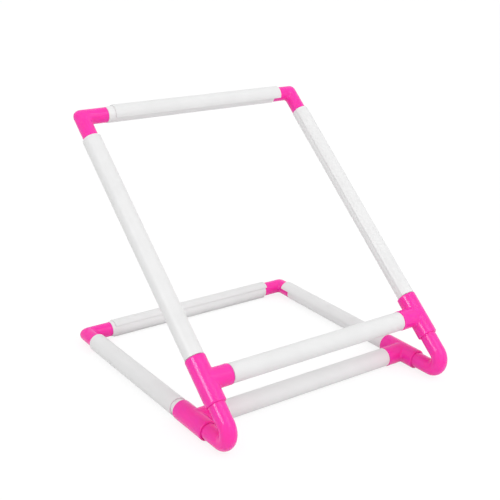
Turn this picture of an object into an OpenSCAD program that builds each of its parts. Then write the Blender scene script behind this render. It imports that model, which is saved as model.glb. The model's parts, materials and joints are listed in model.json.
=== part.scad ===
// Table-top embroidery frame stand.
// Two rectangles of plastic tube share a pair of bent stand elbows at the front: one lies
// flat on the table, the other leans back over it and carries the cloth. Tubes push over
// the spigots of the corner elbows and into the sockets of the tees. A slotted clip snaps
// round every tube and holds the cloth against it. Units are millimetres, +Z is up, +X is
// to the right and +Y runs away from the person who sews. The origin lies on the table,
// under the middle of the whole stand.

/* [Frames] */
// Visible length of the top tube and of the back tube, between two corner elbows
bar_len = 250; // [150:1:450]
// Visible length of each upright tube of the leaning frame
upright_len = 300; // [180:1:450]
// Visible length of each rail tube of the base frame
rail_len = 200; // [120:1:400]
// Angle between the base frame and the leaning frame, in degrees
stand_angle = 40; // [30:1:60]

/* [Tubes] */
// Outside diameter of every tube and of the stand elbows' legs
tube_od = 20; // [16:0.5:26]
// Wall of every tube
tube_wall = 2; // [1.4:0.1:2.8]
// Chamfer on both rims of a cut tube end
tube_chamfer = 0.4; // [0.1:0.1:0.6]
// Radial clearance of a push fit, all round
push_gap = 0.1; // [0.05:0.01:0.2]
// Clearance behind the end of a tube or leg in its socket
end_gap = 0.2; // [0.1:0.1:1]

/* [Clips] */
// Wall of a cloth clip
clip_wall = 1.5; // [1:0.1:2]
// Radial running clearance of a clip on its tube
clip_gap = 0.05; // [0.02:0.01:0.1]
// How much slimmer the rounded lip along each edge of the slot is, on its radius
lip_step = 0.1; // [0.05:0.01:0.3]
// How far short of the clip's ends each lip stops
lip_end = 0.5; // [0.2:0.1:2]
// Width of the slot along a clip, in degrees of its circle
clip_slot = 115; // [80:1:140]
// Gap between a clip and the tee that it is pushed up to
clip_end_gap = 0.4; // [0.3:0.1:0.5]

/* [Clip places] */
// Turn of the top clip's slot from the middle of its frame towards the frame's under side
top_turn = 27; // [0:1:60]
// Turn of both upright clips' slots, measured in the same way
upright_turn = 23; // [0:1:60]
// Turn of the lower clip's slot, measured in the same way
lower_turn = 40; // [0:1:60]
// Turn of the back clip's slot, measured in the same way
back_turn = 19; // [0:1:60]
// Turn of both rail clips' slots, measured in the same way
rail_turn = 36; // [0:1:60]
// Turn of the front clip's slot, measured in the same way
front_turn = 30; // [0:1:60]
// Bare tube to the left of the top clip
top_ring = 9; // [0:0.5:12]
// How far the top clip laps over the arm of the right elbow
top_lap = 10; // [0:0.5:14]
// Bare tube at the top of both uprights, past their clips
upright_ring = 0.6; // [0:0.1:12]
// Bare tube to the left of the lower and front clips
near_ring = 0.4; // [0.3:0.1:12]
// Bare tube to the left of the back clip
back_ring = 4.5; // [0:0.5:12]
// How far the back clip laps over the arm of the right elbow
back_lap = 2; // [0:0.5:14]
// Bare tube in front of the left rail's clip
left_rail_ring = 7; // [0.5:0.5:12]
// How far the left rail's clip laps over the arm of the back elbow
left_rail_lap = 4.5; // [0:0.5:14]
// Bare tube in front of the right rail's clip
right_rail_ring = 16; // [0.5:0.5:20]
// How far the right rail's clip laps over the arm of the back elbow
right_rail_lap = 15; // [0:0.5:16]

/* [Corner elbows] */
// How much slimmer an elbow's arm is than the tube, on its radius
elbow_step = 0.5; // [0.3:0.1:1.5]
// Visible straight arm, from the outside of the other arm to the tube
elbow_arm = 22.7; // [18:0.1:40]
// Length of the spigot inside the tube
spigot_len = 16; // [8:0.5:30]
// Wall of a spigot
spigot_wall = 2; // [1.2:0.1:3]
// Taper at the tip of a spigot, on its radius
spigot_taper = 0.6; // [0.2:0.1:0.8]

/* [Tees] */
// Wall of a tee round its sockets
tee_wall = 2.2; // [1.8:0.1:3]
// Depth of each socket
socket_depth = 15; // [8:0.5:25]
// Stop ring between the crossing bore and a run socket
run_land = 5.4; // [3:0.1:12]
// Stop ring between the outside of the run and the branch socket
branch_land = 3.4; // [2:0.1:12]
// Rounding of the outer rim of a socket
mouth_round = 1.5; // [0.5:0.1:1.7]

/* [Stand elbows] */
// Radius on the inside of the stand elbow's bend
bend_inner = 4; // [2:0.1:15]
// How much slimmer the bend is than the legs, on its radius
bend_step = 0.05; // [0.03:0.01:0.3]
// How far each end of the bend runs on inside its leg, in degrees
bend_lap = 1; // [0.5:0.1:2]
// Visible straight leg between the bend and the tee
leg_straight = 23.5; // [10:0.5:60]
// Wall of a stand elbow's leg round its cored bore
leg_wall = 2.4; // [1.6:0.1:4]
// Solid straight part of a leg between the bend and the floor of its bore
leg_floor = 3; // [1:0.5:8]

/* [Hidden] */
$fn = 96;

tube_r = tube_od / 2;
tube_bore_r = tube_r - tube_wall;

clip_bore_r = tube_r + clip_gap;
clip_r = clip_bore_r + clip_wall;
lip_r = clip_wall / 2 - lip_step;

elbow_r = tube_r - elbow_step;
elbow_reach = elbow_r + elbow_arm;
spigot_r = tube_bore_r - push_gap;
spigot_bore_r = spigot_r - spigot_wall;
spigot_tip = elbow_reach + spigot_len;
spigot_lead = 2 * spigot_taper;

socket_r = tube_r + push_gap;
tee_r = socket_r + tee_wall;
run_stop = tube_bore_r + run_land;
run_reach = run_stop + socket_depth;
branch_stop = tee_r + branch_land;
branch_reach = branch_stop + socket_depth;
seat_depth = socket_depth - end_gap;

leg_r = tube_r;
leg_bore_r = leg_r - leg_wall;
bend_r = leg_r + bend_inner;
bend_start = bend_r / tan(stand_angle / 2);
leg_reach = bend_start + leg_straight;

// Both frames have one flat layout: x across it, y away from the stand elbows' corner
side_x = bar_len / 2 + elbow_reach;
near_y = leg_reach + run_reach;
side_start = near_y + run_reach;
upper_far_y = side_start + upright_len + elbow_reach;
base_far_y = side_start + rail_len + elbow_reach;
near_half = side_x - branch_reach;

// The stand is centred over the origin from front to back, and its tees touch the table
front_edge = bend_start - bend_r - leg_r;
back_edge = max(base_far_y, upper_far_y * cos(stand_angle)) + clip_r;
corner = [0, -(front_edge + back_edge) / 2, max(tee_r, clip_r)];

pink = [1, 0.25, 0.7];
tube_white = [0.93, 0.93, 0.92];
clip_white = [0.97, 0.97, 0.96];

// Places a flat layout as the base frame
module in_base() {
    translate(corner)
        children();
}

// Places a flat layout as the leaning frame
module in_upper() {
    translate(corner)
        rotate([stand_angle, 0, 0])
            children();
}

// Lays a piece that runs along +Z across a frame, from x = start at height y
module across(y, start) {
    translate([start, y, 0])
        rotate([90, 0, 90])
            children();
}

// Lays a piece that runs along +Z up one side of a frame: side is -1 left, 1 right
module along(side, start) {
    translate([side * side_x, start, 0])
        rotate([-90, 0, 0])
            children();
}

// One cut length of tube along +Z, with both rims chamfered at each end
module tube(length) {
    c = tube_chamfer;
    rotate_extrude()
        polygon([
            [tube_bore_r + c, 0], [tube_r - c, 0], [tube_r, c],
            [tube_r, length - c], [tube_r - c, length],
            [tube_bore_r + c, length], [tube_bore_r, length - c], [tube_bore_r, c]
        ]);
}

// One clip along +Z: a slit ring with its slot centred on the angle facing
module clip(length, facing) {
    rotate([0, 0, facing + clip_slot / 2])
        rotate_extrude(angle = 360 - clip_slot)
            translate([clip_bore_r, 0])
                square([clip_wall, length]);
    for (side = [-1, 1])
        rotate([0, 0, facing + side * clip_slot / 2])
            translate([clip_bore_r + clip_wall / 2, 0, lip_end])
                rotate([0, 0, side * 90])
                    cylinder(r = lip_r, h = length - 2 * lip_end);
}

// A clip across the far edge of a frame, from a ring of bare tube to its lap over an elbow
module far_clip(y, ring, lap, turn) {
    across(y, ring - bar_len / 2)
        clip(bar_len - ring + lap, 180 + turn);
}

// A clip across the near edge of a frame, pushed up to the right tee
module near_clip(turn) {
    across(near_y, near_ring - near_half)
        clip(2 * near_half - near_ring - clip_end_gap, -turn);
}

// A clip up one side of a frame, with bare tube in front of it and a lap at its far end
module side_clip(side, visible, ring, lap, turn) {
    along(side, side_start + ring)
        clip(visible - ring + lap, side > 0 ? 180 - turn : turn);
}

// One arm of a corner elbow along +Z, with the tapered spigot that goes into the tube
module elbow_arm_solid() {
    cylinder(r = elbow_r, h = elbow_reach);
    cylinder(r = spigot_r, h = spigot_tip - spigot_lead);
    translate([0, 0, spigot_tip - spigot_lead])
        cylinder(r1 = spigot_r, r2 = spigot_r - spigot_taper, h = spigot_lead);
}

// A right-angled corner elbow at the top left of a frame: arms along +X and -Y
module corner_elbow() {
    difference() {
        union() {
            sphere(r = elbow_r);
            rotate([0, 90, 0])
                elbow_arm_solid();
            rotate([90, 0, 0])
                elbow_arm_solid();
        }
        rotate([0, 90, 0])
            cylinder(r = spigot_bore_r, h = spigot_tip + 1);
        rotate([90, 0, 0])
            cylinder(r = spigot_bore_r, h = spigot_tip + 1);
    }
}

// The outside of one socket along +Z, from the middle of a tee to its rounded rim
module socket_outside(reach) {
    rotate_extrude()
        union() {
            square([tee_r, reach - mouth_round]);
            square([tee_r - mouth_round, reach]);
            translate([tee_r - mouth_round, reach - mouth_round])
                circle(r = mouth_round);
        }
}

// A socket cut along +Z, from its stop out through the rim
module socket_cut(stop) {
    translate([0, 0, stop])
        cylinder(r = socket_r, h = socket_depth + 1);
}

// A tee at the left of a frame: its run lies along Y and its branch along +X
module tee() {
    difference() {
        union() {
            rotate([-90, 0, 0])
                socket_outside(run_reach);
            rotate([90, 0, 0])
                socket_outside(run_reach);
            rotate([0, 90, 0])
                socket_outside(branch_reach);
        }
        rotate([90, 0, 0])
            cylinder(r = tube_bore_r, h = 2 * run_reach, center = true);
        rotate([0, 90, 0])
            cylinder(r = tube_bore_r, h = branch_reach);
        rotate([-90, 0, 0])
            socket_cut(run_stop);
        rotate([90, 0, 0])
            socket_cut(run_stop);
        rotate([0, 90, 0])
            socket_cut(branch_stop);
    }
}

// The outside of one leg of a stand elbow along +Y, from the end of the bend
module leg() {
    translate([0, bend_start, 0])
        rotate([-90, 0, 0])
            cylinder(r = leg_r, h = leg_straight + seat_depth);
}

// The bore that cores one leg from its mouth, along +Y
module leg_bore() {
    translate([0, bend_start + leg_floor, 0])
        rotate([-90, 0, 0])
            cylinder(r = leg_bore_r, h = leg_straight + socket_depth);
}

// A stand elbow: one leg along +Y, one leg at the stand angle above it, and the bend
module stand_elbow() {
    difference() {
        union() {
            leg();
            rotate([stand_angle, 0, 0])
                leg();
            translate([0, bend_start, bend_r])
                rotate([90, 0, 90])
                    rotate([0, 0, 90 + stand_angle - bend_lap])
                        rotate_extrude(angle = 180 - stand_angle + 2 * bend_lap)
                            translate([bend_r, 0])
                                circle(r = leg_r - bend_step);
        }
        leg_bore();
        rotate([stand_angle, 0, 0])
            leg_bore();
    }
}

module top_tube() {
    color(tube_white)
        in_upper()
            across(upper_far_y, -bar_len / 2)
                tube(bar_len);
}

module left_upright_tube() {
    color(tube_white)
        in_upper()
            along(-1, side_start - seat_depth)
                tube(upright_len + seat_depth);
}

module right_upright_tube() {
    color(tube_white)
        in_upper()
            along(1, side_start - seat_depth)
                tube(upright_len + seat_depth);
}

module lower_tube() {
    color(tube_white)
        in_upper()
            across(near_y, -near_half - seat_depth)
                tube(2 * (near_half + seat_depth));
}

module back_tube() {
    color(tube_white)
        in_base()
            across(base_far_y, -bar_len / 2)
                tube(bar_len);
}

module left_rail_tube() {
    color(tube_white)
        in_base()
            along(-1, side_start - seat_depth)
                tube(rail_len + seat_depth);
}

module right_rail_tube() {
    color(tube_white)
        in_base()
            along(1, side_start - seat_depth)
                tube(rail_len + seat_depth);
}

module front_tube() {
    color(tube_white)
        in_base()
            across(near_y, -near_half - seat_depth)
                tube(2 * (near_half + seat_depth));
}

module top_left_elbow() {
    color(pink)
        in_upper()
            translate([-side_x, upper_far_y, 0])
                corner_elbow();
}

module top_right_elbow() {
    color(pink)
        in_upper()
            translate([side_x, upper_far_y, 0])
                mirror([1, 0, 0])
                    corner_elbow();
}

module back_left_elbow() {
    color(pink)
        in_base()
            translate([-side_x, base_far_y, 0])
                corner_elbow();
}

module back_right_elbow() {
    color(pink)
        in_base()
            translate([side_x, base_far_y, 0])
                mirror([1, 0, 0])
                    corner_elbow();
}

module upper_left_tee() {
    color(pink)
        in_upper()
            translate([-side_x, near_y, 0])
                tee();
}

module upper_right_tee() {
    color(pink)
        in_upper()
            translate([side_x, near_y, 0])
                mirror([1, 0, 0])
                    tee();
}

module base_left_tee() {
    color(pink)
        in_base()
            translate([-side_x, near_y, 0])
                tee();
}

module base_right_tee() {
    color(pink)
        in_base()
            translate([side_x, near_y, 0])
                mirror([1, 0, 0])
                    tee();
}

module left_stand_elbow() {
    color(pink)
        in_base()
            translate([-side_x, 0, 0])
                stand_elbow();
}

module right_stand_elbow() {
    color(pink)
        in_base()
            translate([side_x, 0, 0])
                stand_elbow();
}

module top_clip() {
    color(clip_white)
        in_upper()
            far_clip(upper_far_y, top_ring, top_lap, top_turn);
}

module left_upright_clip() {
    color(clip_white)
        in_upper()
            side_clip(-1, upright_len, clip_end_gap, -upright_ring, upright_turn);
}

module right_upright_clip() {
    color(clip_white)
        in_upper()
            side_clip(1, upright_len, clip_end_gap, -upright_ring, upright_turn);
}

module lower_clip() {
    color(clip_white)
        in_upper()
            near_clip(lower_turn);
}

module back_clip() {
    color(clip_white)
        in_base()
            far_clip(base_far_y, back_ring, back_lap, back_turn);
}

module left_rail_clip() {
    color(clip_white)
        in_base()
            side_clip(-1, rail_len, left_rail_ring, left_rail_lap, rail_turn);
}

module right_rail_clip() {
    color(clip_white)
        in_base()
            side_clip(1, rail_len, right_rail_ring, right_rail_lap, rail_turn);
}

module front_clip() {
    color(clip_white)
        in_base()
            near_clip(front_turn);
}

top_tube();
left_upright_tube();
right_upright_tube();
lower_tube();
back_tube();
left_rail_tube();
right_rail_tube();
front_tube();
top_left_elbow();
top_right_elbow();
back_left_elbow();
back_right_elbow();
upper_left_tee();
upper_right_tee();
base_left_tee();
base_right_tee();
left_stand_elbow();
right_stand_elbow();
top_clip();
left_upright_clip();
right_upright_clip();
lower_clip();
back_clip();
left_rail_clip();
right_rail_clip();
front_clip();
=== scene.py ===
# %% [markdown]
# # A table-top embroidery stand in push-fit plastic
#
# The stand is two rectangles of white plastic tube that share a pair of bent elbows at the
# front. Hot-pink fittings join the tubes, and a slotted white clip snaps round every tube to
# hold the cloth. There are only five kinds of piece: tube, clip, corner elbow, tee and stand
# elbow. So this lesson makes five generators and calls them for all 26 pieces.
#
# The imported model is loaded first. It is the fixed frame: it says where each piece is and
# which body it rides on.

# %% Load the imported model
import json
import math

import bmesh
import bpy
import numpy as np
from mathutils import Matrix, Vector


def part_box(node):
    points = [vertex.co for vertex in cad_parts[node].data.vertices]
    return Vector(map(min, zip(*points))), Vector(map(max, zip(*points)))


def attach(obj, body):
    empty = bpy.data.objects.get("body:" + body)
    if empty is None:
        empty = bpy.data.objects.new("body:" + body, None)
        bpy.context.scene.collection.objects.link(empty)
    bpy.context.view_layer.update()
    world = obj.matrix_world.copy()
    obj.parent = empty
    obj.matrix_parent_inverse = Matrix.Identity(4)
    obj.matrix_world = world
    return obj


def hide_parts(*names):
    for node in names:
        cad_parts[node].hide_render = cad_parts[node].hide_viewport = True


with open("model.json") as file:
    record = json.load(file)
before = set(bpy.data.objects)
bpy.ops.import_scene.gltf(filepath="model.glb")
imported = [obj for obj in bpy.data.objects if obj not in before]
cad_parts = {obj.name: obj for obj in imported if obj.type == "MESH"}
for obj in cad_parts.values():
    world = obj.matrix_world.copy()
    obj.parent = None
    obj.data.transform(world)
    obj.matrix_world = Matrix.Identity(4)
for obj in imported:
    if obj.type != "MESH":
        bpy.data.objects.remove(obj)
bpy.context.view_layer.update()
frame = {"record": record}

bodies = frame["record"]["behaviour"]["bodies"]
body_of_node = {node: body for body, nodes in bodies.items() for node in nodes}

# %% [markdown]
# ## The sizes of the real pieces
#
# All the pieces share a few sizes: the tube is 20 mm thick, a corner elbow's arm is a little
# slimmer, and a tee's sockets go round the tube. They could be typed in at each piece, but then
# one wrong digit would hide among many, so each is named once, in metres, and the places
# that follow from them are worked out.

# %% Sizes and places
MM = 0.001
LEFT, RIGHT = -1, 1

# Tube: outer radius, bore and the rounding of its rims
TUBE_R, TUBE_BORE_R, TUBE_RIM = 10 * MM, 8 * MM, 0.4 * MM

# Clip: wall, outer radius, slot in degrees, lip, rounded corners and rims, and its gap to a tee
CLIP_WALL, CLIP_R, CLIP_SLOT, LIP_R = 1.5 * MM, 11.55 * MM, 115.0, 0.65 * MM
CLIP_CORNER_R, CLIP_RIM, TEE_GAP = 1.0 * MM, 0.3 * MM, 0.4 * MM

# Corner elbow: arm, then its bends (inner and outer radius) and where they start
ELBOW_R, ELBOW_REACH, ELBOW_RIM = 9.5 * MM, 32.2 * MM, 0.35 * MM
ELBOW_BEND, ELBOW_BORE_BEND = (2.5 * MM, 7.5 * MM), (0.5 * MM, 1.5 * MM)
ELBOW_STRAIGHT = 13 * MM

# Spigot: radius, bore and tip, the fillet at its foot, and the taper and edge of its tip
SPIGOT_R, SPIGOT_BORE_R, SPIGOT_TIP = 7.9 * MM, 5.9 * MM, 48.2 * MM
SPIGOT_FOOT, SPIGOT_LEAD, SPIGOT_TAPER, SPIGOT_EDGE = 0.25 * MM, 1.2 * MM, 0.6 * MM, 0.2 * MM

# Tee: outer radius and rim, its sockets, the fillets where the arms cross, and where these end
TEE_R, TEE_RIM = 12.3 * MM, 1.5 * MM
SOCKET_R, SOCKET_EDGE, SEAT = 10.1 * MM, 0.3 * MM, 14.8 * MM
RUN_STOP, RUN_REACH = 13.4 * MM, 28.4 * MM
BRANCH_STOP, BRANCH_REACH = 15.7 * MM, 30.7 * MM
TEE_FILLET, TEE_BORE_FILLET = 2.0 * MM, 0.5 * MM
TEE_STRAIGHT, TEE_BORE_STRAIGHT = 16 * MM, 12 * MM

# The tube lengths that show between two fittings, and the angle between the two rectangles
BAR, UPRIGHT, RAIL = 250 * MM, 300 * MM, 200 * MM
TILT = math.radians(40)

# Stand elbow: its bend, the legs that show beside it, and the cores in the legs
BEND_R = 14 * MM
BEND_START = BEND_R / math.tan(TILT / 2)
BEND_LEAD = 0.1 * MM
LEG_REACH = BEND_START + 23.5 * MM
LEG_BORE_R, LEG_FLOOR, LEG_EDGE, LEG_RIM = 7.6 * MM, 3 * MM, 0.3 * MM, 0.6 * MM

# Places in the flat layout of a rectangle, whose origin is where the two rectangles would meet
SIDE_X = BAR / 2 + ELBOW_REACH
NEAR_Y = LEG_REACH + RUN_REACH
SIDE_START = NEAR_Y + RUN_REACH
TOP_Y = SIDE_START + UPRIGHT + ELBOW_REACH
BACK_Y = SIDE_START + RAIL + ELBOW_REACH
NEAR_HALF = SIDE_X - BRANCH_REACH
CORNER = Vector((0, -188.4897 * MM, TEE_R))

# Both rectangles have one flat layout, which is laid on the table or leaned back
LAID = Matrix.Translation(CORNER)
LEANED = Matrix.Translation(CORNER) @ Matrix.Rotation(TILT, 4, "X")
print("outside width %.1f mm" % ((2 * SIDE_X + 2 * TEE_R) / MM))

# %% [markdown]
# ## The camera
#
# The photograph was taken from the left, a little above the top of the stand, with the camera
# rolled by under two degrees. The camera could be aimed by eye, but the long straight tubes
# give exact lines to fit, so its place, focal length and shift come from such a fit.

# %% Camera
# The fit: angles in degrees, the aim and the distance in millimetres, the lens in pixels
CAMERA_TURN, CAMERA_RISE, CAMERA_ROLL = -36.6213, 20.3778, 1.6656
CAMERA_AIM, CAMERA_DISTANCE = Vector((-138.2847, 0, 228.3197)), 943.6376
FOCAL, CENTRE_X, CENTRE_Y = 974.7786, 262.0342, 248.1341
PICTURE, SENSOR = 500, 36


def place_camera():
    turn, rise, roll = (math.radians(a) for a in (CAMERA_TURN, CAMERA_RISE, CAMERA_ROLL))
    level = math.cos(rise)
    back = Vector((math.sin(turn) * level, -math.cos(turn) * level, math.sin(rise)))
    right = (-back).cross(Vector((0, 0, 1))).normalized()
    up = right.cross(-back)
    rolled_right = right * math.cos(roll) + up * math.sin(roll)
    rolled_up = up * math.cos(roll) - right * math.sin(roll)
    lens = bpy.data.cameras.new("photo_camera")
    lens.sensor_width = SENSOR
    lens.lens = FOCAL * SENSOR / PICTURE
    lens.shift_x = (PICTURE / 2 - CENTRE_X) / PICTURE
    lens.shift_y = (CENTRE_Y - PICTURE / 2) / PICTURE
    lens.clip_start, lens.clip_end = 0.05, 60
    camera = bpy.data.objects.new("photo_camera", lens)
    bpy.context.scene.collection.objects.link(camera)
    place = CORNER + CAMERA_AIM * MM + back * CAMERA_DISTANCE * MM
    axes = Matrix((rolled_right, rolled_up, back)).transposed().to_4x4()
    camera.matrix_world = Matrix.Translation(place) @ axes
    bpy.context.scene.camera = camera
    return camera


camera = place_camera()
bpy.context.scene.view_settings.view_transform = "Standard"
print("camera stands at", [round(c, 3) for c in camera.matrix_world.translation])

# %% [markdown]
# ## The finishes
#
# Every piece is plain moulded or extruded plastic. Up close such a surface is never one flat
# colour: the pigment has faint clouds, the gloss changes from place to place, and the surface
# swells very slightly, so a highlight wavers. A tube also has fine lines along it, drawn by the
# die that it was pushed through. A painted image could show this, but noise textures stay
# sharp at any distance, so each finish is a small tree of nodes.

# %% Node helpers
def plug(tree, socket, value):
    """Links a socket to another one, or sets it to a plain value."""
    if isinstance(value, bpy.types.NodeSocket):
        tree.links.new(value, socket)
    else:
        socket.default_value = value


def adder(tree):
    """A function that adds a node to a tree, sets it and plugs in its inputs.

    An input is given by its name, with _ for a space, or by its number, as in0 or in1.
    """
    def add(kind, settings=None, **inputs):
        node = tree.nodes.new(kind)
        for key, value in (settings or {}).items():
            setattr(node, key, value)
        for key, value in inputs.items():
            label = int(key[2:]) if key.startswith("in") else key.replace("_", " ")
            plug(tree, node.inputs[label], value)
        return node

    return add


def new_finish(name):
    """An empty material with its tree, its shader and its adder."""
    finish = bpy.data.materials.new(name)
    finish.use_nodes = True
    tree = finish.node_tree
    return finish, tree, tree.nodes["Principled BSDF"], adder(tree)


def noise(add, place, scale, detail, roughness=0.5):
    """A noise value at each place, mostly between 0.3 and 0.7."""
    node = add("ShaderNodeTexNoise", Vector=place, Scale=scale, Detail=detail, Roughness=roughness)
    return node.outputs["Fac"]


def between(add, value, low, high):
    """A noise value spread between two numbers."""
    node = add("ShaderNodeMapRange", Value=value,
               From_Min=0.3, From_Max=0.7, To_Min=low, To_Max=high)
    return node.outputs["Result"]


def clouded(add, clouds, first, second):
    """A colour that drifts between two tones with the noise.

    A Mix node has sockets for every type of value. For a colour, they are inputs 6 and 7 and
    output 2.
    """
    tone = add("ShaderNodeMix", {"data_type": "RGBA"}, in0=between(add, clouds, 0.0, 1.0))
    tone.inputs[6].default_value = (*first, 1)
    tone.inputs[7].default_value = (*second, 1)
    return tone.outputs[2]


def two_bumps(add, broad, fine):
    """A normal with broad bumps and fine ones over them, each (noise, strength, metres)."""
    normal = {}
    for height, strength, distance in (broad, fine):
        node = add("ShaderNodeBump", Height=height, Strength=strength, Distance=distance, **normal)
        normal = {"Normal": node.outputs["Normal"]}
    return normal["Normal"]


def glow_through(shader, share, spread, depth):
    """Lets some light into the plastic, as thin walls do, so that grooves don't go black."""
    shader.inputs["Subsurface Weight"].default_value = share
    shader.inputs["Subsurface Radius"].default_value = spread
    shader.inputs["Subsurface Scale"].default_value = depth


# %% [markdown]
# ### Hot-pink moulded plastic
#
# The fittings are injection moulded in a glossy hot pink. The tone drifts by a few per cent
# where the melt cooled at different speeds, and a very fine orange peel spreads the highlight.
# Object coordinates are used, because a moulded piece has no direction of its own.

# %% Pink finish
PINK_TONES = (1.0, 0.034, 0.39), (1.0, 0.040, 0.43)
PINK_GLOSS = 0.13, 0.19


def pink_plastic():
    finish, tree, shader, add = new_finish("moulded_pink_plastic")
    place = add("ShaderNodeTexCoord").outputs["Object"]
    clouds = noise(add, place, scale=38.0, detail=3.0, roughness=0.55)
    tree.links.new(clouded(add, clouds, *PINK_TONES), shader.inputs["Base Color"])
    patches = noise(add, place, scale=210.0, detail=4.0, roughness=0.6)
    tree.links.new(between(add, patches, *PINK_GLOSS), shader.inputs["Roughness"])
    swell = noise(add, place, scale=95.0, detail=1.0)
    peel = noise(add, place, scale=1500.0, detail=2.0)
    normal = two_bumps(add, (swell, 0.5, 0.000003), (peel, 0.5, 0.0000012))
    tree.links.new(normal, shader.inputs["Normal"])
    shader.inputs["IOR"].default_value = 1.5
    shader.inputs["Specular IOR Level"].default_value = 0.22
    glow_through(shader, share=0.35, spread=(1.0, 0.12, 0.3), depth=6 * MM)
    return finish


pink = pink_plastic()
print("made", pink.name)

# %% [markdown]
# ### White extruded plastic
#
# Tubes and clips are both cut from extruded lengths, so one function makes both finishes. The
# die lines have to follow each piece, whichever way it lies. Object coordinates can't do that
# for tubes that lie three ways, so each piece carries an attribute, die_place, with the place
# of each point before the piece was laid down: z runs along the piece. Squeezing that
# z draws the noise out into long lines.

# %% White finishes
# The tube's tones are set lighter than the clip's. This is partly the tube's own tone and partly
# painted light: it lifts the bare tube where it lies in shade inside each clip's slot.
TUBE_TONES_WITH_PAINTED_LIFT, TUBE_GLOSS = ((0.795, 0.795, 0.795), (0.82, 0.82, 0.82)), (0.34, 0.46)
CLIP_TONES, CLIP_GLOSS = ((0.765, 0.765, 0.765), (0.795, 0.795, 0.795)), (0.30, 0.42)
LENGTHWAYS = (1.0, 1.0, 0.012)


def white_plastic(name, tones, gloss):
    finish, tree, shader, add = new_finish(name)
    own = add("ShaderNodeAttribute", {"attribute_name": "die_place"}).outputs["Vector"]
    squeezed = add("ShaderNodeMapping", Vector=own, Scale=LENGTHWAYS).outputs["Vector"]
    clouds = noise(add, own, scale=30.0, detail=3.0)
    tree.links.new(clouded(add, clouds, *tones), shader.inputs["Base Color"])
    lines = noise(add, squeezed, scale=900.0, detail=3.0)
    tree.links.new(between(add, lines, *gloss), shader.inputs["Roughness"])
    swell = noise(add, own, scale=70.0, detail=1.0)
    normal = two_bumps(add, (swell, 0.4, 0.00008), (lines, 0.6, 0.000012))
    tree.links.new(normal, shader.inputs["Normal"])
    shader.inputs["IOR"].default_value = 1.5
    shader.inputs["Specular IOR Level"].default_value = 0.2
    glow_through(shader, share=0.25, spread=(1.0, 1.0, 1.0), depth=3 * MM)
    return finish


# The tube's finish takes the lighter tones, with their painted light.
tube_white = white_plastic("extruded_tube_white", TUBE_TONES_WITH_PAINTED_LIFT, TUBE_GLOSS)
clip_white = white_plastic("extruded_clip_white", CLIP_TONES, CLIP_GLOSS)
print("made", tube_white.name, "and", clip_white.name)

# %% [markdown]
# ## Laying a piece down
#
# Each generator makes its piece along +Z, or in the flat layout of a rectangle. The piece is
# then laid where it belongs. Its place is put into the mesh itself, so that the object stays
# at the origin, unturned, as the CAD nodes are. The finished piece stands for its CAD node,
# rides on that node's body, and its box is compared with the node's.

# %% Laying helpers
QUARTER = math.radians(90)


def across(y, start):
    """Turns a piece along +Z so that it runs along +X, from start at height y."""
    turned = Matrix.Rotation(QUARTER, 4, "Z") @ Matrix.Rotation(QUARTER, 4, "X")
    return Matrix.Translation((start, y, 0)) @ turned


def along(side, start):
    """Turns a piece along +Z so that it runs along +Y, up one side of the layout."""
    return Matrix.Translation((side * SIDE_X, start, 0)) @ Matrix.Rotation(-QUARTER, 4, "X")


def in_corner(laid, side, y):
    """Places a fitting that was made for the left side, and mirrors it for the right one."""
    return laid @ Matrix.Translation((side * SIDE_X, y, 0)) @ Matrix.Diagonal((-side, 1, 1, 1))


def hand_over(piece, node, crease=35):
    """Shades a finished piece, ties it to its CAD node's body and compares their boxes."""
    for face in piece.data.polygons:
        face.use_smooth = True
    piece.data.set_sharp_from_angle(angle=math.radians(crease))
    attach(piece, body_of_node[node])
    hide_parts(node)
    low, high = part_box(node)
    points = np.array([v.co for v in piece.data.vertices])
    below, above = abs(points.min(0) - np.array(low)), abs(points.max(0) - np.array(high))
    off = max(below.max(), above.max()) / MM
    faces = len(piece.data.polygons)
    print("%-28s %6d faces, box within %.2f mm of its node" % (piece.name, faces, off))


# %% [markdown]
# ## Geometry Nodes: small helpers
#
# Tubes and clips follow a rule: a profile turned about an axis, and a flat strip rolled round
# one. Geometry Nodes suit that, because a rule with named inputs makes all sixteen pieces. The
# helpers below open a tree's inputs, end every rule alike, and turn the result into a plain
# mesh.

# %% Geometry Nodes helpers
LAYING = [("Place", "Vector"), ("Turn", "Rotation"), ("Finish", "Material")]


def new_rule(name, sizes):
    """A tree with named inputs, and functions to add nodes and arithmetic to it."""
    tree = bpy.data.node_groups.new(name, "GeometryNodeTree")
    for label, kind in sizes + LAYING:
        tree.interface.new_socket(label, in_out="INPUT", socket_type="NodeSocket" + kind)
    tree.interface.new_socket("Geometry", in_out="OUTPUT", socket_type="NodeSocketGeometry")
    source = tree.nodes.new("NodeGroupInput")

    def calc(operation, *values):
        node = tree.nodes.new("ShaderNodeMath")
        node.operation = operation
        for socket, value in zip(node.inputs, values):
            plug(tree, socket, value)
        return node.outputs[0]

    return tree, source.outputs, adder(tree), calc


def end_rule(tree, source, add, geometry):
    """Keeps each point's place in die_place, lays the piece down and gives it its finish."""
    kept = add("GeometryNodeStoreNamedAttribute", {"data_type": "FLOAT_VECTOR", "domain": "POINT"},
               Geometry=geometry, Name="die_place")
    place = add("GeometryNodeInputPosition").outputs[0]
    tree.links.new(place, [s for s in kept.inputs if s.name == "Value" and s.enabled][0])
    laid = add("GeometryNodeTransform", Geometry=kept.outputs[0],
               Translation=source["Place"], Rotation=source["Turn"])
    real = add("GeometryNodeRealizeInstances", Geometry=laid.outputs[0])
    done = add("GeometryNodeSetMaterial", Geometry=real.outputs[0], Material=source["Finish"])
    out = tree.nodes.new("NodeGroupOutput")
    tree.links.new(done.outputs[0], out.inputs[0])


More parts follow.
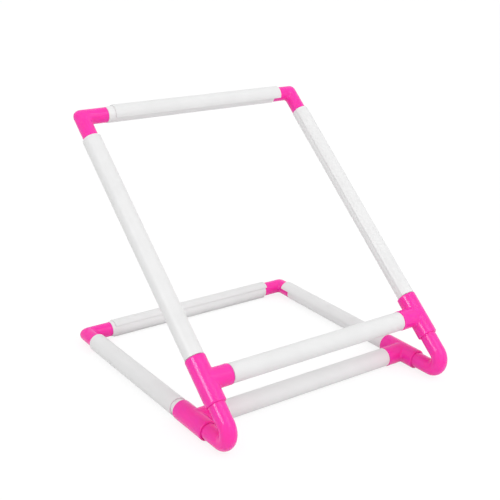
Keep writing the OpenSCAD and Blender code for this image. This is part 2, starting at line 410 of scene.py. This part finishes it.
def follow_rule(tree, name, matrix, finish, sizes, extra=None):
    """Runs a tree with these sizes, bakes the result and returns a plain mesh object."""
    place, turn = matrix.to_translation(), matrix.to_euler()
    values = {**sizes, "Place": place, "Turn": turn, "Finish": finish}
    holder = bpy.data.objects.new(name, bpy.data.meshes.new(name))
    bpy.context.scene.collection.objects.link(holder)
    rule = holder.modifiers.new("rule", "NODES")
    rule.node_group = tree
    for item in tree.interface.items_tree:
        if item.item_type == "SOCKET" and item.in_out == "INPUT":
            rule[item.identifier] = values[item.name]
    if extra:
        extra(holder)
    view = bpy.context.evaluated_depsgraph_get()
    mesh = bpy.data.meshes.new_from_object(
        holder.evaluated_get(view), preserve_all_data_layers=True, depsgraph=view)
    holder.modifiers.clear()
    holder.data = mesh
    mesh.name = name
    return holder


# %% [markdown]
# ## The tubes
#
# A tube is a cut length of white pipe with its rims lightly rounded. It could be two cylinders
# and a boolean. Here the wall's cross-section, a long thin rectangle with rounded corners, is
# swept round a circle: one closed skin, inside and outside, with even faces.

# %% The rule for a tube
TUBE_STEPS, RIM_STEPS = 96, 4


def tube_rule():
    tree, source, add, calc = new_rule("turned_tube", [
        ("Length", "Float"), ("Outer radius", "Float"), ("Wall", "Float"),
        ("Rim rounding", "Float"), ("Steps round", "Int")])
    wall = add("GeometryNodeCurvePrimitiveQuadrilateral",
               Width=source["Wall"], Height=source["Length"])
    rim = add("GeometryNodeFilletCurve", {"mode": "POLY"},
              Curve=wall.outputs[0], Radius=source["Rim rounding"], Count=RIM_STEPS)
    middle = calc("SUBTRACT", source["Outer radius"], calc("MULTIPLY", source["Wall"], 0.5))
    circle = add("GeometryNodeCurvePrimitiveCircle",
                 Resolution=source["Steps round"], Radius=middle)
    upright = add("GeometryNodeSetCurveNormal", {"mode": "Z_UP"}, Curve=circle.outputs[0])
    skin = add("GeometryNodeCurveToMesh", Curve=upright.outputs[0], Profile_Curve=rim.outputs[0])
    lift = add("ShaderNodeCombineXYZ", Z=calc("MULTIPLY", source["Length"], 0.5))
    raised = add("GeometryNodeTransform", Geometry=skin.outputs[0], Translation=lift.outputs[0])
    end_rule(tree, source, add, raised.outputs[0])
    return tree


TUBE_RULE = tube_rule()
print("tube rule has", len(TUBE_RULE.nodes), "nodes")

# %% Cut the eight tubes
def cut_tube(node, matrix, length):
    tube = follow_rule(TUBE_RULE, node + "_cut", matrix, tube_white, {
        "Length": length, "Outer radius": TUBE_R, "Wall": TUBE_R - TUBE_BORE_R,
        "Rim rounding": TUBE_RIM, "Steps round": TUBE_STEPS})
    hand_over(tube, node)


near_tube = 2 * (NEAR_HALF + SEAT)
cut_tube("top_tube", LEANED @ across(TOP_Y, -BAR / 2), BAR)
cut_tube("left_upright_tube", LEANED @ along(LEFT, SIDE_START - SEAT), UPRIGHT + SEAT)
cut_tube("right_upright_tube", LEANED @ along(RIGHT, SIDE_START - SEAT), UPRIGHT + SEAT)
cut_tube("lower_tube", LEANED @ across(NEAR_Y, -near_tube / 2), near_tube)
cut_tube("back_tube", LAID @ across(BACK_Y, -BAR / 2), BAR)
cut_tube("left_rail_tube", LAID @ along(LEFT, SIDE_START - SEAT), RAIL + SEAT)
cut_tube("right_rail_tube", LAID @ along(RIGHT, SIDE_START - SEAT), RAIL + SEAT)
cut_tube("front_tube", LAID @ across(NEAR_Y, -near_tube / 2), near_tube)

# %% [markdown]
# ## The clips
#
# A clip is a wider plastic tube with a third of it cut away lengthways, so that it snaps over
# the tube and the cloth. Its four corners are rounded off, so that they don't catch threads. It
# could be a tube with a boolean cut, but a boolean leaves ragged corners. Rolling up a flat
# strip with rounded corners gives clean ones: the strip is drawn by a rule, rolled about the
# axis, and then thickened with Solidify and softened with Bevel.
#
# On the stand, no clip sits in the middle of its tube. Each one leaves a ring of bare tube at
# one end, and most lap over an elbow's slimmer arm at the other.

# %% The rule for a clip
CLIP_STEPS, CORNER_ROWS = 73, 7


def clip_rule():
    tree, source, add, calc = new_rule("rolled_clip", [
        ("Length", "Float"), ("Middle radius", "Float"), ("Strip width", "Float"),
        ("Corner radius", "Float"), ("Facing", "Float")])
    rows = 2 * CORNER_ROWS + 2
    strip = add("GeometryNodeMeshGrid",
                Size_X=1.0, Size_Y=1.0, Vertices_X=CLIP_STEPS, Vertices_Y=rows)
    flat = add("ShaderNodeSeparateXYZ", Vector=add("GeometryNodeInputPosition").outputs[0])
    across_strip, up_strip = flat.outputs["X"], flat.outputs["Y"]
    # How far round the corner's quarter circle this row is, from the end of the strip
    from_end = calc("MULTIPLY", calc("SUBTRACT", 0.5, calc("ABSOLUTE", up_strip)), rows - 1.0)
    share = calc("MINIMUM", calc("DIVIDE", from_end, float(CORNER_ROWS)), 1.0)
    quarter, corner = calc("MULTIPLY", share, math.pi / 2), source["Corner radius"]
    back_off = calc("MULTIPLY", corner, calc("SUBTRACT", 1.0, calc("COSINE", quarter)))
    inset = calc("MULTIPLY", corner, calc("SUBTRACT", 1.0, calc("SINE", quarter)))
    half_length = calc("MULTIPLY", source["Length"], 0.5)
    from_middle = calc("MULTIPLY", calc("SIGN", up_strip), calc("SUBTRACT", half_length, back_off))
    z = calc("ADD", from_middle, half_length)
    wide = calc("SUBTRACT", source["Strip width"], calc("MULTIPLY", inset, 2.0))
    # The strip's middle is opposite the slot
    rolled = calc("DIVIDE", calc("MULTIPLY", across_strip, wide), source["Middle radius"])
    angle = calc("ADD", calc("ADD", rolled, math.pi), source["Facing"])
    x = calc("MULTIPLY", source["Middle radius"], calc("COSINE", angle))
    y = calc("MULTIPLY", source["Middle radius"], calc("SINE", angle))
    there = add("ShaderNodeCombineXYZ", X=x, Y=y, Z=z)
    curled = add("GeometryNodeSetPosition", Geometry=strip.outputs[0], Position=there.outputs[0])
    end_rule(tree, source, add, curled.outputs[0])
    return tree


CLIP_RULE = clip_rule()
print("clip rule has", len(CLIP_RULE.nodes), "nodes")

# %% Snap the eight clips on
def thicken(strip):
    wall = strip.modifiers.new("wall", "SOLIDIFY")
    wall.thickness, wall.offset, wall.use_even_offset = CLIP_WALL, 0, True
    soft = strip.modifiers.new("soft_rims", "BEVEL")
    soft.width, soft.segments = CLIP_RIM, 3
    soft.limit_method, soft.angle_limit = "ANGLE", math.radians(50)


def snap_clip(node, matrix, length, facing):
    middle = CLIP_R - CLIP_WALL / 2
    strip = follow_rule(CLIP_RULE, node + "_snapped", matrix, clip_white, {
        "Length": length, "Middle radius": middle, "Corner radius": CLIP_CORNER_R,
        "Strip width": middle * math.radians(360 - CLIP_SLOT) + 2 * LIP_R,
        "Facing": math.radians(facing)}, thicken)
    hand_over(strip, node)


# A clip leaves a ring of bare tube, laps over the other fitting, and is turned by some degrees
def far_clip(node, laid, y, ring, lap, turn):
    snap_clip(node, laid @ across(y, ring - BAR / 2), BAR - ring + lap, 180 + turn)


def near_clip(node, laid, ring, turn):
    start, length = ring - NEAR_HALF, 2 * NEAR_HALF - ring - TEE_GAP
    snap_clip(node, laid @ across(NEAR_Y, start), length, -turn)


def side_clip(node, laid, side, visible, ring, lap, turn):
    facing = 180 - turn if side == RIGHT else turn
    snap_clip(node, laid @ along(side, SIDE_START + ring), visible - ring + lap, facing)


far_clip("top_clip", LEANED, TOP_Y, ring=9 * MM, lap=10 * MM, turn=27)
side_clip("left_upright_clip", LEANED, LEFT, UPRIGHT, ring=TEE_GAP, lap=-0.6 * MM, turn=23)
side_clip("right_upright_clip", LEANED, RIGHT, UPRIGHT, ring=TEE_GAP, lap=-0.6 * MM, turn=23)
near_clip("lower_clip", LEANED, ring=TEE_GAP, turn=40)
far_clip("back_clip", LAID, BACK_Y, ring=4.5 * MM, lap=2 * MM, turn=19)
side_clip("left_rail_clip", LAID, LEFT, RAIL, ring=7 * MM, lap=4.5 * MM, turn=36)
side_clip("right_rail_clip", LAID, RIGHT, RAIL, ring=16 * MM, lap=15 * MM, turn=36)
near_clip("front_clip", LAID, ring=TEE_GAP, turn=30)

# %% [markdown]
# ## Moulded fittings: rings and skins
#
# A moulded fitting is a hollow skin: it runs along the outside, over each rim, down the bore
# and back. Such a piece could be cut with booleans and bevelled, but bevels fail where curved
# surfaces cross. Instead each skin is laid out as rows of points that go round the arm,
# and rows that follow each other are joined with four-sided faces.
#
# Two halves of a mould leave a fine raised line where they met. Each ring has a few extra
# points at the parting plane for it, and the rest of the ring is that much slimmer, so that
# the line reaches the true size.

# %% Ring helpers
# The parting line: its height, the half width that has it, and its points' angles in degrees
PARTING, PARTING_HALF, PARTING_EDGES = 0.07 * MM, 1.5, (-2.6, -1.1, 1.1, 2.6)

# Steps round an arm, the last point's distance from a rim, and when two points are one
RING_STEPS, RIM_LEAD, MERGE = 72, 0.4 * MM, 0.0001 * MM
FITTING_CREASE = 40


def ring_angles():
    """Angles round an arm, with extra points at the parting line at 0 and 180 degrees."""
    even = [360 * i / RING_STEPS for i in range(RING_STEPS)]
    near = [a + b for a in (0, 180) for b in PARTING_EDGES]
    return np.radians(sorted(set(round(a % 360, 4) for a in even + near)))


def ring_radii(angles, radius, parted=True):
    """The radius at each angle: full at the parting line and a hair less elsewhere.

    A ring that lies hidden inside another piece has no parting line.
    """
    if not parted:
        return np.full_like(angles, radius)
    off = np.abs((np.degrees(angles) + 90) % 180 - 90)
    return np.where(off < PARTING_HALF, radius, radius - PARTING)


def rim(radius, reach, rounding, steps=5):
    """Points (radius, distance) from an arm's side over its outer rim to its face.

    The first one lies just before the rim, and keeps the shading of the long side even.
    """
    over = [(radius - rounding * (1 - math.cos(t)), reach - rounding * (1 - math.sin(t)))
            for t in np.linspace(0, math.pi / 2, steps + 1)]
    return [(radius, reach - rounding - RIM_LEAD)] + over


def stitch(rows, cyclic, first):
    """Faces between rows of equal length. Rows are numbered from vertex number first."""
    wide, faces = len(rows[0]), []
    for i in range(len(rows) - 1):
        for j in range(wide if cyclic else wide - 1):
            a, b = first + i * wide + j, first + i * wide + (j + 1) % wide
            faces.append((a, b, b + wide, a + wide))
    return faces


def closed_skin(name, patches, matrix, finish):
    """One mesh from patches of rows: doubles merged, faces turned outwards, laid in place."""
    points, faces = [], []
    for rows, cyclic in patches:
        faces += stitch(rows, cyclic, len(points))
        points += [p for row in rows for p in row]
    mesh = bpy.data.meshes.new(name)
    mesh.from_pydata([tuple(p) for p in points], [], faces)
    work = bmesh.new()
    work.from_mesh(mesh)
    bmesh.ops.remove_doubles(work, verts=work.verts, dist=MERGE)
    bmesh.ops.dissolve_degenerate(work, edges=work.edges, dist=MERGE)
    bmesh.ops.recalc_face_normals(work, faces=work.faces)
    if work.calc_volume(signed=True) < 0:
        bmesh.ops.reverse_faces(work, faces=work.faces)
    open_edges = sum(1 for e in work.edges if len(e.link_faces) != 2)
    bmesh.ops.transform(work, matrix=matrix, verts=work.verts)
    if matrix.determinant() < 0:
        bmesh.ops.reverse_faces(work, faces=work.faces)
    work.to_mesh(mesh)
    print("%-28s %.1f cm3, %d open edges" % (name, abs(work.calc_volume()) * 1e6, open_edges))
    work.free()
    mesh.materials.append(finish)
    piece = bpy.data.objects.new(name, mesh)
    bpy.context.scene.collection.objects.link(piece)
    return piece


# %% [markdown]
# ## The corner elbows
#
# Each corner elbow has two slim arms at a right angle, a spigot on each that goes inside a
# tube, and a bore right round. Its outer corner is well rounded and its inner one has a small
# fillet. Along every line of the surface, the elbow is two straights and an arc. So each
# point of a ring follows its own line round the corner, and the arc's radius grows from the
# inner side to the outer one.

# %% Corner elbow
def round_corner(angles, radii, bend, steps=9):
    """Rows from an arm along +X round the corner to an arm along -Y."""
    inner, outer = bend
    side, height = radii * np.cos(angles), radii * np.sin(angles)
    start = np.full_like(angles, ELBOW_STRAIGHT)
    rows = [np.stack([start, side, height], 1)]
    arc = inner + (outer - inner) * (1 + side / radii.max()) / 2
    for turn in np.linspace(0, math.pi / 2, steps + 1):
        x = -side + arc * (1 - math.sin(turn))
        y = side - arc * (1 - math.cos(turn))
        rows.append(np.stack([x, y, height], 1))
    rows.append(np.stack([-side, -start, height], 1))
    return rows


def elbow_arm_profile():
    """Points (radius, distance) from the arm's side over its shoulder and down the spigot."""
    tip_r = SPIGOT_R - SPIGOT_TAPER
    return rim(ELBOW_R, ELBOW_REACH, ELBOW_RIM, steps=3) + [
        (SPIGOT_R + SPIGOT_FOOT, ELBOW_REACH), (SPIGOT_R, ELBOW_REACH + SPIGOT_FOOT),
        (SPIGOT_R, SPIGOT_TIP - SPIGOT_LEAD), (tip_r + SPIGOT_EDGE / 2, SPIGOT_TIP - SPIGOT_EDGE),
        (tip_r - SPIGOT_EDGE, SPIGOT_TIP), (SPIGOT_BORE_R, SPIGOT_TIP)]


def mould_elbow(node, laid, side, y):
    angles = ring_angles()
    bore = ring_radii(angles, SPIGOT_BORE_R, parted=False)
    outside = round_corner(angles, ring_radii(angles, ELBOW_R), ELBOW_BEND)
    inside = round_corner(angles, bore, ELBOW_BORE_BEND)
    first, last = [], []
    for radius, reach in elbow_arm_profile():
        ring = ring_radii(angles, radius, parted=radius > SPIGOT_R + 2 * SPIGOT_FOOT)
        level = np.full_like(angles, reach)
        offset, height = ring * np.cos(angles), ring * np.sin(angles)
        first.append(np.stack([level, offset, height], 1))
        last.append(np.stack([-offset, -level, height], 1))
    rows = first[::-1] + outside + last + inside[::-1] + [first[-1]]
    piece = closed_skin(node + "_moulded", [(rows, True)], in_corner(laid, side, y), pink)
    hand_over(piece, node, FITTING_CREASE)


mould_elbow("top_left_elbow", LEANED, LEFT, TOP_Y)
mould_elbow("top_right_elbow", LEANED, RIGHT, TOP_Y)
mould_elbow("back_left_elbow", LAID, LEFT, BACK_Y)
mould_elbow("back_right_elbow", LAID, RIGHT, BACK_Y)

# %% [markdown]
# ## The tees
#
# A tee has a straight run and a branch of the same thickness, all with rounded rims. Two equal
# pipes cross along a pair of slanting planes, and a moulded tee has a small fillet there. The
# back half of the run is plain. On the front half, each line of the run goes down to the
# crossing, turns through a small arc and goes out along the branch, like the inner side
# of an elbow. The arc shrinks to nothing at the top and bottom, where the two pipes only touch.

# %% Tee
NEAR_ZERO = 1e-9


def tee_patches(angles, radii, fillet, straight, steps=6):
    """Patches of rows for the run's plain back and for its two turns into the branch."""
    depths = [r * math.cos(a) for r, a in zip(radii, angles)]
    heights = [r * math.sin(a) for r, a in zip(radii, angles)]

    def row(lines, place):
        """A point on each of these lines of the run, at the (x, y) that place gives it."""
        return [np.array((*place(depths[i]), heights[i])) for i in lines]

    def turned(depth, turn, way):
        """Where a line of the run is when it has turned this far into the branch."""
        off = max(0.0, depth)
        arc = fillet * math.sqrt(off / radii.max())
        return off + arc * (1 - math.cos(turn)), way * (off + arc * (1 - math.sin(turn)))

    front = [i for i, a in enumerate(angles) if math.cos(a) > -NEAR_ZERO]
    front.sort(key=lambda i: (math.degrees(angles[i]) + 180) % 360)
    back = [i for i, a in enumerate(angles) if math.cos(a) < NEAR_ZERO]
    plain = [row(back, lambda depth: (depth, y)) for y in (straight, 0, -straight)]
    patches = [(plain, False)]
    for way in (1, -1):
        rows = [row(front, lambda depth: (depth, way * straight))]
        for turn in np.linspace(0, math.pi / 2, steps + 1):
            rows.append(row(front, lambda depth: turned(depth, turn, way)))
        rows.append(row(front, lambda depth: (straight, way * max(0.0, depth))))
        patches.append((rows, False))
    return patches


def socket_rows(angles, reach, stop, branch):
    """Rows from a tee's outside over the rim, down the socket to its stop and into the bore."""
    profile = [(TEE_R, TEE_STRAIGHT)] + rim(TEE_R, reach, TEE_RIM) + [
        (SOCKET_R + SOCKET_EDGE, reach), (SOCKET_R, reach - SOCKET_EDGE), (SOCKET_R, stop),
        (TUBE_BORE_R, stop), (TUBE_BORE_R, TEE_BORE_STRAIGHT)]
    rows = []
    for radius, distance in profile:
        ring = ring_radii(angles, radius, parted=radius > SOCKET_R + 2 * SOCKET_EDGE)
        level, offset = np.full_like(angles, distance), ring * np.cos(angles)
        x, y = (level, offset) if branch else (offset, level)
        rows.append(np.stack([x, y, ring * np.sin(angles)], 1))
    return rows


def mould_tee(node, laid, side):
    angles = ring_angles()
    bore = ring_radii(angles, TUBE_BORE_R, parted=False)
    patches = tee_patches(angles, ring_radii(angles, TEE_R), TEE_FILLET, TEE_STRAIGHT)
    patches += tee_patches(angles, bore, TEE_BORE_FILLET, TEE_BORE_STRAIGHT)
    run = socket_rows(angles, RUN_REACH, RUN_STOP, branch=False)
    patches.append((run, True))
    patches.append(([row * np.array((1, -1, 1)) for row in run], True))
    patches.append((socket_rows(angles, BRANCH_REACH, BRANCH_STOP, branch=True), True))
    piece = closed_skin(node + "_moulded", patches, in_corner(laid, side, NEAR_Y), pink)
    hand_over(piece, node, FITTING_CREASE)


mould_tee("upper_left_tee", LEANED, LEFT)
mould_tee("upper_right_tee", LEANED, RIGHT)
mould_tee("base_left_tee", LAID, LEFT)
mould_tee("base_right_tee", LAID, RIGHT)

# %% [markdown]
# ## The stand elbows
#
# A stand elbow is bent right round, so that its two legs are only 40 degrees apart. Each leg
# goes into a tee and is cored out from its end to save plastic. It could be a circle swept
# along a curve object, but the cored ends need rims as well, so its rows are laid out like
# those of the other fittings: out of one core, along one leg, round the bend and back.

# %% Stand elbow
BEND_STEPS = 40


def mould_stand_elbow(node, side):
    angles = ring_angles()
    end, floor = LEG_REACH + SEAT, BEND_START + LEG_FLOOR

    def row(y, z, out_y, out_z, radius, parted=True):
        """A ring round the point (y, z), with its angle 0 towards (out_y, out_z)."""
        ring = ring_radii(angles, radius, parted)
        across_x = side * SIDE_X + ring * np.sin(angles)
        in_y, in_z = out_y * ring * np.cos(angles), out_z * ring * np.cos(angles)
        return np.stack([across_x, y + in_y, z + in_z], 1)

    def leg(tilt, sign):
        """Rows from the floor of the core, over the rim and along the leg to the bend."""
        along_y, along_z = math.cos(tilt), math.sin(tilt)
        out_y, out_z = -sign * math.sin(tilt), sign * math.cos(tilt)
        profile = [(0.0, floor), (LEG_BORE_R, floor), (LEG_BORE_R, end - LEG_EDGE),
                   (LEG_BORE_R + LEG_EDGE, end)]
        profile += rim(TUBE_R, end, LEG_RIM, steps=4)[::-1] + [(TUBE_R, BEND_START + BEND_LEAD)]
        return [row(s * along_y, s * along_z, out_y, out_z, r, r > LEG_BORE_R + 2 * LEG_EDGE)
                for r, s in profile]

    bend = []
    bend_end = -math.pi / 2 - (math.pi - TILT)
    for turn in np.linspace(-math.pi / 2, bend_end, BEND_STEPS + 1):
        out_y, out_z = math.cos(turn), math.sin(turn)
        bend.append(row(BEND_START + BEND_R * out_y, BEND_R + BEND_R * out_z, out_y, out_z, TUBE_R))
    rows = leg(0, -1) + bend + leg(TILT, 1)[::-1]
    piece = closed_skin(node + "_moulded", [(rows, True)], LAID, pink)
    hand_over(piece, node, FITTING_CREASE)


mould_stand_elbow("left_stand_elbow", LEFT)
mould_stand_elbow("right_stand_elbow", RIGHT)

# %% [markdown]
# ## The stage: floor, world and lamps
#
# The photograph is a cut-out on pure white, lit softly from the front, a little from the right,
# and a light on the left draws a bright line down each glossy fitting. That line has to be
# narrow, so the strip lamp that makes it shows in reflections alone, and a weak fill that shows
# in none of them lights the left sides.
#
# White plastic on white needs care: more light would burn it out, and its far edges would fade
# into the background. So the lamps stay low, the room is a little dimmer from the back right,
# and Light Path makes the floor and the world plain white only where they are seen, straight or
# in a reflection. The floor keeps a soft shadow, which grounds the stand.

# %% Floor and world
# The floor's own tone, the share of plain white that is seen over it, and that white's strength
FLOOR_TONE, SEEN_SHARE, SEEN_WHITE = 0.74, 0.74, 1.13
FLOOR_HALF = 30

# The side that the room is dimmer from, and its strength from the other side and from this one
DIM_SIDE, ROOM_BRIGHT, ROOM_DIM = (0.8, 0.6, 0.0), 1.12, 0.66


def pale_for(add):
    """1 for what is seen, also in a reflection or through a clear piece, and 0 for light."""
    paths = add("ShaderNodeLightPath")
    shown = paths.outputs["Is Camera Ray"]
    for ray in ("Is Glossy Ray", "Is Transmission Ray"):
        either = add("ShaderNodeMath", {"operation": "MAXIMUM"}, in0=shown, in1=paths.outputs[ray])
        shown = either.outputs[0]
    return shown


def make_floor():
    mesh = bpy.data.meshes.new("floor")
    corners = [(x * FLOOR_HALF, y * FLOOR_HALF, 0) for x, y in ((-1, -1), (1, -1), (1, 1), (-1, 1))]
    mesh.from_pydata(corners, [], [(0, 1, 2, 3)])
    floor = bpy.data.objects.new("floor", mesh)
    bpy.context.scene.collection.objects.link(floor)
    finish, tree, shader, add = new_finish("white_floor")
    shader.inputs["Base Color"].default_value = (FLOOR_TONE, FLOOR_TONE, FLOOR_TONE, 1)
    shader.inputs["Roughness"].default_value = 0.9
    shader.inputs["Specular IOR Level"].default_value = 0.1
    share = add("ShaderNodeMath", {"operation": "MULTIPLY"}, in0=pale_for(add), in1=SEEN_SHARE)
    white = add("ShaderNodeEmission", Color=(1, 1, 1, 1), Strength=SEEN_WHITE)
    both = add("ShaderNodeMixShader",
               in0=share.outputs[0], in1=shader.outputs[0], in2=white.outputs[0])
    tree.links.new(both.outputs[0], tree.nodes["Material Output"].inputs["Surface"])
    mesh.materials.append(finish)


def make_world():
    """A white room that lights the stand less from the back right than from the front left."""
    world = bpy.data.worlds.new("soft_white_room")
    bpy.context.scene.world = world
    world.use_nodes = True
    tree = world.node_tree
    add = adder(tree)
    way = add("ShaderNodeTexCoord").outputs["Generated"]
    turned = add("ShaderNodeVectorMath", {"operation": "DOT_PRODUCT"}, in0=way, in1=DIM_SIDE)
    light = add("ShaderNodeMapRange", Value=turned.outputs["Value"],
                From_Min=-1.0, To_Min=ROOM_BRIGHT, To_Max=ROOM_DIM)
    level = add("ShaderNodeMapRange", Value=pale_for(add), To_Min=light.outputs[0], To_Max=1.0)
    sky = tree.nodes["Background"]
    sky.inputs["Color"].default_value = (1, 1, 1, 1)
    tree.links.new(level.outputs[0], sky.inputs["Strength"])


make_floor()
make_world()
print("floor and world made")

# %% Lamps
STAND_MIDDLE = Vector((0, 0, 0.15))


def lamp(name, place, long_side, width, height, watts):
    """An area lamp that faces the middle of the stand, with its height along long_side."""
    light = bpy.data.lights.new(name, "AREA")
    light.shape = "RECTANGLE"
    light.size, light.size_y, light.energy = width, height, watts
    holder = bpy.data.objects.new(name, light)
    bpy.context.scene.collection.objects.link(holder)
    back = (Vector(place) - STAND_MIDDLE).normalized()
    right = Vector(long_side).cross(back).normalized()
    axes = Matrix((right, back.cross(right), back)).transposed().to_4x4()
    holder.matrix_world = Matrix.Translation(place) @ axes
    return holder


lamp("soft_front", (0.4, -1.7, 1.85), (1, 0, 0), width=1.6, height=1.6, watts=14)
strip = lamp("tall_strip", (-1.83, -0.37, 1.49), (0, math.cos(TILT), math.sin(TILT)),
             width=0.95, height=0.65, watts=24)
strip.visible_diffuse = False
fill = lamp("left_fill", (-2.2, 0.6, 0.9), (0, 1, 0), width=1.6, height=1.6, watts=1.5)
fill.visible_glossy = False
